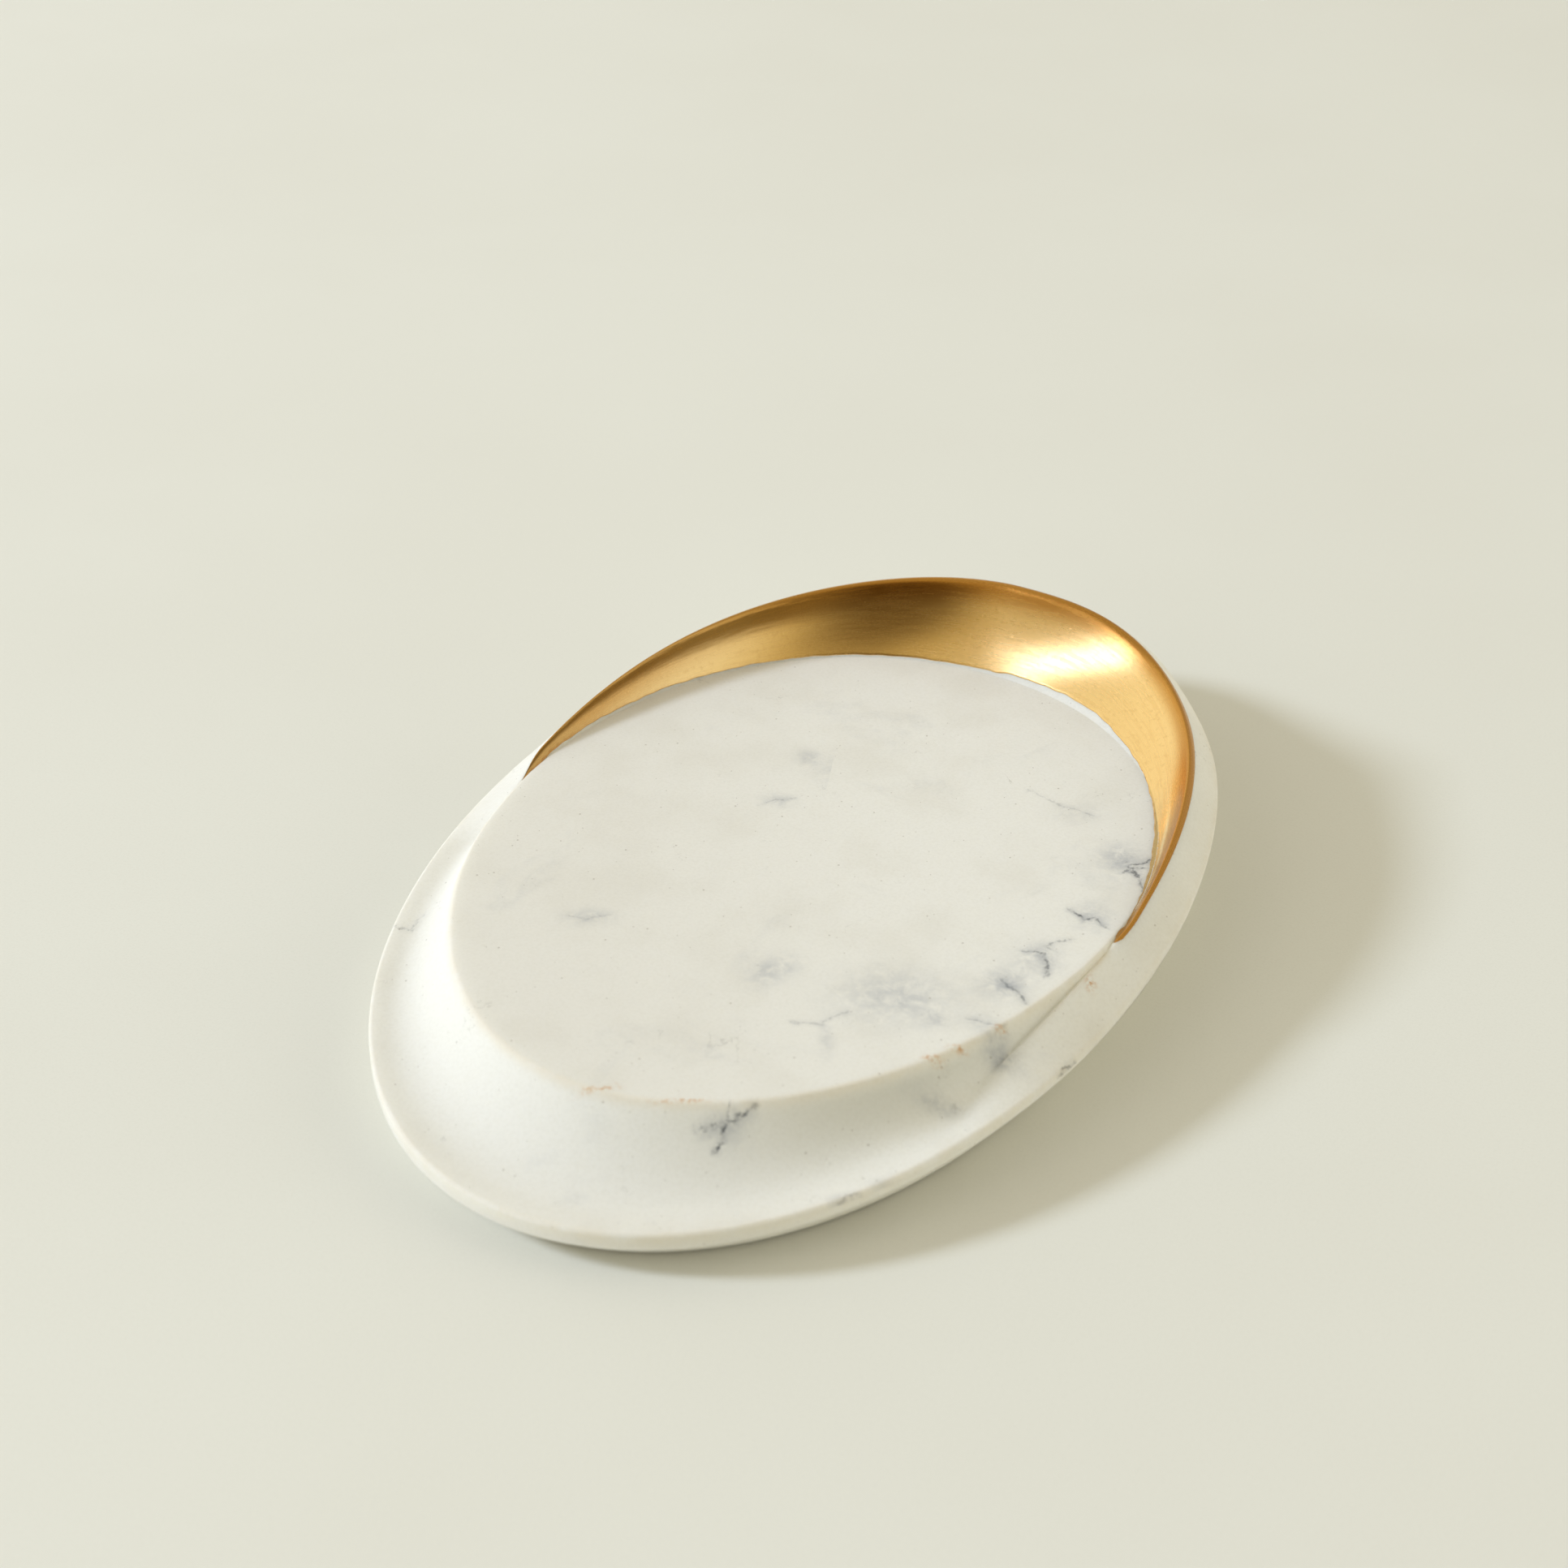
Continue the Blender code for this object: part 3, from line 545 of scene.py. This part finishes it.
# Beige along the platform's edge at the front, the rim's upper edge, and the ridge past the right tip.
edge_line = 0.7 * bell(past_edge, 0.45) * (np.abs(turned(spot_angle)) > 1.5)
rim_line = 0.6 * bell(to_rim, 0.55) * bell(spot_z * MM - rim_top(spot_angle), 1.3 * MM)
ridge_line = bell(spot_reach - crest_at(spot_angle), 0.35 * MM) * (past_tip(spot_angle) > -0.03)
ridge_line = ridge_line * np.clip(1.0 - past_tip(spot_angle) / 0.45, 0.0, 1.0) * (turned(spot_angle) < 0.0)
note(cast_dish, "beige_edges", np.maximum(np.maximum(edge_line * above, rim_line), ridge_line * above))
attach(cast_dish, "root")
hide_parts("dish_body")

# The gilding. Brushed metal leaf laid up the cove and rolled just over the crest, cut by hand along
# the platform, so its lower edge wanders and ends in a ragged point at each tip.
LEAF_LEFT, LEAF_RIGHT = math.radians(98.0), math.radians(-90.0)
LEAF_ROWS, LEAF_ACROSS, LEAF_BENEATH = 560, 46, 14
LEAF_PROUD, LEAF_SUNK, LEAF_ROLL, LEAF_OVER = 0.05 * MM, -0.12 * MM, 0.4 * MM, 0.9 * MM
CUT_GAP, CUT_WANDER_LEFT, CUT_WANDER_RIGHT = 0.1 * MM, 0.05 * MM, 0.13 * MM
CUT_STRAY, STRAY_OUT_AT, STRAY_OUT_SPAN, STRAY_IN_AT, STRAY_IN_SPAN = 0.75 * MM, 0.3, 0.26, 1.05, 0.36
TAPER_LEFT, TAPER_RIGHT, TAPER_POWER = 0.12, 0.03, 0.6


def leaf_start(a):
    """Distance to the leaf's lower edge: just past the platform, 0.8 mm further at the back's right, and
    over the platform's edge further down the right side; cut neatly on the left, raggedly on the right."""
    stray = CUT_STRAY * (bell(a + STRAY_OUT_AT, STRAY_OUT_SPAN) - bell(a + STRAY_IN_AT, STRAY_IN_SPAN))
    stir = by_side(a, CUT_WANDER_LEFT, CUT_WANDER_RIGHT) * wander(a, 3.0, (23, 41, 67, 101))
    return platform_at(a) + CUT_GAP + stray + stir


# The rows of its skin run from tip to tip. The columns go up the face from the cut to the crest, and back
# beneath it, inside the casting.
along = np.linspace(LEAF_LEFT, LEAF_RIGHT, LEAF_ROWS)[:, None]
back_down = np.linspace(1.0, 0.0, LEAF_BENEATH + 2)[1:-1]
across = np.concatenate((np.linspace(0.0, 1.0, LEAF_ACROSS), back_down))[None, :]
beneath = np.concatenate((np.zeros(LEAF_ACROSS), np.ones(LEAF_BENEATH)))[None, :]
to_tip = np.minimum(LEAF_LEFT - along, along - LEAF_RIGHT)
narrow = np.clip(to_tip / by_side(along, TAPER_LEFT, TAPER_RIGHT), 0.0, 1.0) ** TAPER_POWER
middle = crest_at(along) - 0.1 * MM
lower = between(middle, leaf_start(along), narrow)
over_crest = between(by_side(along, 0.0, LEAF_ROLL), LEAF_OVER, eased(to_tip / 0.75))
upper = between(middle, crest_at(along) + over_crest, narrow)
leaf_reach = between(lower, upper, across)
edge = np.clip(np.minimum(across, 1.0 - across) / 0.02, 0.0, 1.0)
lift = np.where(beneath > 0.5, LEAF_SUNK, between(-LEAF_PROUD, LEAF_PROUD, edge))
leaf_height = top_height(along, leaf_reach) + lift * np.clip(to_tip / 0.02, 0.0, 1.0)
leaf_grid = np.stack((-leaf_reach * np.sin(along), FAN_Y + leaf_reach * np.cos(along), leaf_height), axis=-1)

# Leaf metal, rubbed with a brush along the cove: warm yellow, streaked and grainy, with painted reflections:
# darker going up the cove, amber at the crest, brown high on the left, and on the right a duller band below a
# painted glint.
gilding, tree, shader, place = new_material("brushed_gold_leaf")
up_cove, from_cut = noted(tree, "up_cove"), noted(tree, "from_cut")
from_crest, run = noted(tree, "from_crest"), noted(tree, "run")
brush_along, brush_across = times(tree, run, 0.07), times(tree, up_cove, 9.0)
brushed = add(tree, "ShaderNodeCombineXYZ", None, {"X": brush_along, "Y": brush_across}).outputs["Vector"]
bristles = {"Scale": 2.2, "Detail": 6.0, "Roughness": 0.7}
streak = add(tree, "ShaderNodeTexNoise", bristles, {"Vector": brushed}).outputs["Fac"]
grain = speckle(tree, 1400.0, 4.0, 0.65)
sway = shaken(tree, up_cove, streak, 0.28)
# Painted reflection: darker going up the cove, where the steeper leaf mirrors the darker room.
leaf = tint(tree, base(tree, "#F8D491"), ramp(tree, sway, 0.66, 1.02, 0.0, 0.6), "#DBA24A")
# Painted reflection: amber along the crest, the warm ceiling mirrored there.
amber = ramp(tree, shaken(tree, from_crest, streak, 1.6), 2.3, 0.2)
leaf = tint(tree, leaf, times(tree, amber, ramp(tree, run, 10.0, 40.0, 0.85, 0.45)), "#C28737")
# Painted reflection: brown high on the left, the dark room in front mirrored there.
brown = times(tree, ramp(tree, sway, 0.50, 0.80), ramp(tree, sway, 0.88, 0.97, 1.0, 0.2))
leaf = tint(tree, leaf, times(tree, brown, ramp(tree, run, 8.0, 34.0), 0.9), "#7C5822")
leaf = tint(tree, leaf, ramp(tree, streak, 0.40, 0.66, 0.0, 0.10), "#C9933F")
leaf = tint(tree, leaf, times(tree, ramp(tree, grain, 0.52, 0.72), 0.16), "#A87730")
# Its trimmed edge, shaken by a fine noise: red-brown near both tips, and torn back to the resin on the right.
ragged = shaken(tree, from_cut, speckle(tree, 900.0, 5.0, 0.7), 0.9)
cut = calc(tree, "MAXIMUM", ramp(tree, run, -30.0, -50.0, 0.12, 0.8), ramp(tree, run, 60.0, 80.0, 0.0, 0.5))
leaf = tint(tree, leaf, times(tree, ramp(tree, ragged, 0.12, 0.38, 1.0, 0.0), cut), "#A9642B")
# Painted reflection low on the right: a duller band, and a painted glint above it.
lower_right = ramp(tree, run, -36.0, -50.0)
leaf = tint(tree, leaf, times(tree, lower_right, ramp(tree, sway, 0.30, 0.46, 0.65, 0.0)), "#DCC596")
painted_glint = times(tree, ramp(tree, sway, 0.36, 0.46), ramp(tree, sway, 0.48, 0.60, 1.0, 0.0))
leaf = tint(tree, leaf, times(tree, lower_right, painted_glint, 0.8), "#FFF0C6")
bare = times(tree, ramp(tree, ragged, -0.14, 0.0, 1.0, 0.0), ramp(tree, run, -20.0, -40.0))
leaf = tint(tree, leaf, bare, "#E8E4D8")
tree.links.new(leaf, shader.inputs["Base Color"])
tree.links.new(calc(tree, "SUBTRACT", 1.0, bare), shader.inputs["Metallic"])
rough = calc(tree, "ADD", ramp(tree, streak, 0.34, 0.68, 0.21, 0.27), times(tree, grain, 0.05))
tree.links.new(calc(tree, "MAXIMUM", rough, times(tree, bare, 0.6)), shader.inputs["Roughness"])
bubbles = add(tree, "ShaderNodeTexVoronoi", {"Scale": 260.0}, {"Vector": place}).outputs["Distance"]
lumps = calc(tree, "ADD", times(tree, streak, 0.12), times(tree, grain, 0.30))
lumps = calc(tree, "ADD", lumps, ramp(tree, bubbles, 0.03, 0.07, 0.5, 0.0))
bumped(tree, shader, lumps, 0.4, 0.04 * MM)

# Its shader reads how far up the cove a point is, how far it is in mm from the cut and from the crest, and
# how far along the run of the cove, in mm from the back.
MM_PER_RADIAN = 50.0
gilt_cove = surface("gilt_cove", leaf_grid, True, gilding)
leaf_x, leaf_y, _ = points_of(gilt_cove)
leaf_angle = turned(np.arctan2(-leaf_x * MM, leaf_y * MM - FAN_Y))
leaf_wide = crest_at(leaf_angle) - leaf_start(leaf_angle)
leaf_in = np.hypot(leaf_x * MM, leaf_y * MM - FAN_Y) - leaf_start(leaf_angle)
note(gilt_cove, "up_cove", leaf_in / np.maximum(leaf_wide, 0.2 * MM))
note(gilt_cove, "from_cut", np.minimum(leaf_in / MM, MM_PER_RADIAN * (leaf_angle - LEAF_RIGHT)) + 0.1)
note(gilt_cove, "from_crest", (leaf_wide - leaf_in) / MM)
note(gilt_cove, "run", MM_PER_RADIAN * leaf_angle)
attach(gilt_cove, "root")
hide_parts("gold_leaf")

# The pads. Four clear silicone discs, stuck under the base by their own film. Cast silicone is milky and
# lets light through, and it's a little uneven and dusty, so it looks soft beside the resin.
silicone, tree, shader, _ = new_material("clear_silicone")
milk = tint(tree, base(tree, "#DFE0DC"), ramp(tree, speckle(tree, 350.0), 0.35, 0.7, 0.0, 0.6), "#CFD1CC")
milk = tint(tree, milk, ramp(tree, speckle(tree, 2600.0, 2.0), 0.62, 0.72, 0.0, 0.5), "#A7A49B")
tree.links.new(milk, shader.inputs["Base Color"])
tree.links.new(ramp(tree, speckle(tree, 1200.0), 0.3, 0.7, 0.30, 0.48), shader.inputs["Roughness"])
shader.inputs["Transmission Weight"].default_value = 0.45
shader.inputs["IOR"].default_value = 1.41
bumped(tree, shader, speckle(tree, 1800.0), 0.4, 0.02 * MM)
for name in ("foot_pad_front_left", "foot_pad_front_right", "foot_pad_back_left", "foot_pad_back_right"):
    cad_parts[name].data.materials.clear()
    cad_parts[name].data.materials.append(silicone)

# The table the dish stands on: a board with pale eggshell paint, rolled on, so its tone and gloss vary a
# little, and it has a fine orange-peel.
board_paint, tree, shader, _ = new_material("pale_board_paint")
paint = tint(tree, base(tree, "#E9E8DE"), ramp(tree, speckle(tree, 9.0), 0.35, 0.7, 0.0, 0.5), "#E5E3D8")
paint = tint(tree, paint, ramp(tree, speckle(tree, 3000.0, 2.0), 0.4, 0.8, 0.0, 0.12), "#C9C7BA")
tree.links.new(paint, shader.inputs["Base Color"])
tree.links.new(ramp(tree, speckle(tree, 40.0), 0.3, 0.7, 0.56, 0.66), shader.inputs["Roughness"])
bumped(tree, shader, speckle(tree, 1100.0, 2.0), 0.3, 0.05 * MM)
BOARD_HALF = 3.0
corners = np.array([[[x, y, 0.0] for x in (-BOARD_HALF, BOARD_HALF)] for y in (-BOARD_HALF, BOARD_HALF)])
board = surface("board", corners, False, board_paint)

# The studio: a camera 32 degrees up, and a soft lamp 30 degrees up on the left. The gilding doesn't mirror
# the lamp itself, but the hot spots that the room below has in its place.
PLAN_TURN, CAMERA_TILT, LAMP_TILT = math.radians(60.05), math.radians(32.0), math.radians(30.0)
CAMERA_DISTANCE, FOCUS_DISTANCE, LAMP_DISTANCE = 390.9 * MM, 365.0 * MM, 3200.0 * MM
right_way = Vector((math.sin(PLAN_TURN), math.cos(PLAN_TURN), 0.0))
away = Vector((-math.cos(PLAN_TURN), math.sin(PLAN_TURN), 0.0))
up = Vector((0.0, 0.0, 1.0))
view_way = away * math.cos(CAMERA_TILT) - up * math.sin(CAMERA_TILT)
aim = Vector((-21.48 * MM, 28.18 * MM, 0.0))

camera = bpy.data.cameras.new("camera")
camera.sensor_width = 36.0
camera.lens = 65.2
camera.clip_start = 0.01
camera.dof.use_dof = True
camera.dof.focus_distance = FOCUS_DISTANCE
camera.dof.aperture_fstop = 30.0
camera_object = bpy.data.objects.new("camera", camera)
camera_object.location = aim - view_way * CAMERA_DISTANCE
camera_object.rotation_euler = view_way.to_track_quat("-Z", "Y").to_euler()
bpy.context.scene.collection.objects.link(camera_object)
bpy.context.scene.camera = camera_object

lamp = bpy.data.lights.new("window_lamp", "AREA")
lamp.shape = "DISK"
lamp.size = 0.60
lamp.energy = 75.0
lamp.color = (0.70, 0.80, 0.98)
lamp_object = bpy.data.objects.new("window_lamp", lamp)
lamp_way = right_way * math.cos(LAMP_TILT) - up * math.sin(LAMP_TILT)
lamp_object.location = -lamp_way * LAMP_DISTANCE
lamp_object.visible_glossy = False
lamp_object.rotation_euler = lamp_way.to_track_quat("-Z", "Y").to_euler()
bpy.context.scene.collection.objects.link(lamp_object)

# The room: what lights the dish all round, and what its gloss and gilding mirror. Both are a warm wall colour
# with soft round patches: pale cards at the right and beyond, the dark behind the camera, and in the mirrored
# room three hot spots side by side for the lamp.

# A patch: its azimuth from the picture's right and its elevation, its inner and outer radius, all in degrees,
# then its colour and how that joins the colour under it.
LIT_WALL, LIT_PATCHES = (0.585, 0.54, 0.428), (
    (5.0, 14.0, 10.0, 48.0, (0.92, 0.90, 0.80), "ADD"),
    (-25.0, 0.0, 10.0, 38.0, (0.55, 0.58, 0.50), "ADD"),
    (-138.0, 22.0, 10.0, 56.0, (0.60, 0.62, 0.58), "ADD"),
    (140.0, 15.0, 25.0, 60.0, (0.20, 0.19, 0.16), "ADD"),
    (-78.0, 38.0, 14.0, 52.0, (0.22, 0.23, 0.25), "MULTIPLY"))
SEEN_WALL, SEEN_PATCHES = (0.60, 0.57, 0.47), (
    (140.0, 15.0, 25.0, 60.0, (0.44, 0.45, 0.44), "ADD"),
    (-26.0, 17.0, 8.0, 34.0, (0.30, 0.36, 0.46), "ADD"),
    (-98.0, 27.0, 12.0, 36.0, (0.17, 0.12, 0.05), "MULTIPLY"),
    (-95.0, 30.0, 20.0, 60.0, (1.0, 0.87, 0.55), "MULTIPLY"),
    (-160.5, 43.5, 1.0, 4.2, (3.8, 4.1, 6.0), "ADD"),
    (-167.0, 46.0, 1.0, 4.2, (9.0, 9.8, 14.2), "ADD"),
    (-175.0, 48.2, 1.0, 4.2, (6.0, 6.5, 9.5), "ADD"))
room = bpy.data.worlds.new("room")
bpy.context.scene.world = room
room.use_nodes = True
tree = room.node_tree
way = add(tree, "ShaderNodeTexCoord").outputs["Generated"]


def walls(tree, wall, patches):
    """The room's colour in each direction: the wall, then each patch near its middle's direction."""
    colour = add(tree, "ShaderNodeRGB").outputs["Color"]
    colour.default_value = (*wall, 1.0)
    for azimuth, elevation, inside, outside, shade, mode in patches:
        plan, tilt = math.radians(azimuth), math.radians(elevation)
        centre = (right_way * math.cos(plan) + away * math.sin(plan)) * math.cos(tilt) + up * math.sin(tilt)
        toward = {"operation": "DOT_PRODUCT", 1: centre}
        close = add(tree, "ShaderNodeVectorMath", toward, {0: way}).outputs["Value"]
        spread = ramp(tree, close, math.cos(math.radians(outside)), math.cos(math.radians(inside)))
        joined = {"data_type": "RGBA", "blend_type": mode, 7: (*shade, 1.0)}
        colour = add(tree, "ShaderNodeMix", joined, {0: spread, 6: colour}).outputs[2]
    return colour


lit, seen = walls(tree, LIT_WALL, LIT_PATCHES), walls(tree, SEEN_WALL, SEEN_PATCHES)
mirrored = add(tree, "ShaderNodeLightPath").outputs["Is Glossy Ray"]
both = add(tree, "ShaderNodeMix", {"data_type": "RGBA"}, {0: mirrored, 6: lit, 7: seen})
tree.links.new(both.outputs[2], tree.nodes["Background"].inputs["Color"])
bpy.context.scene.view_settings.view_transform = "Standard"
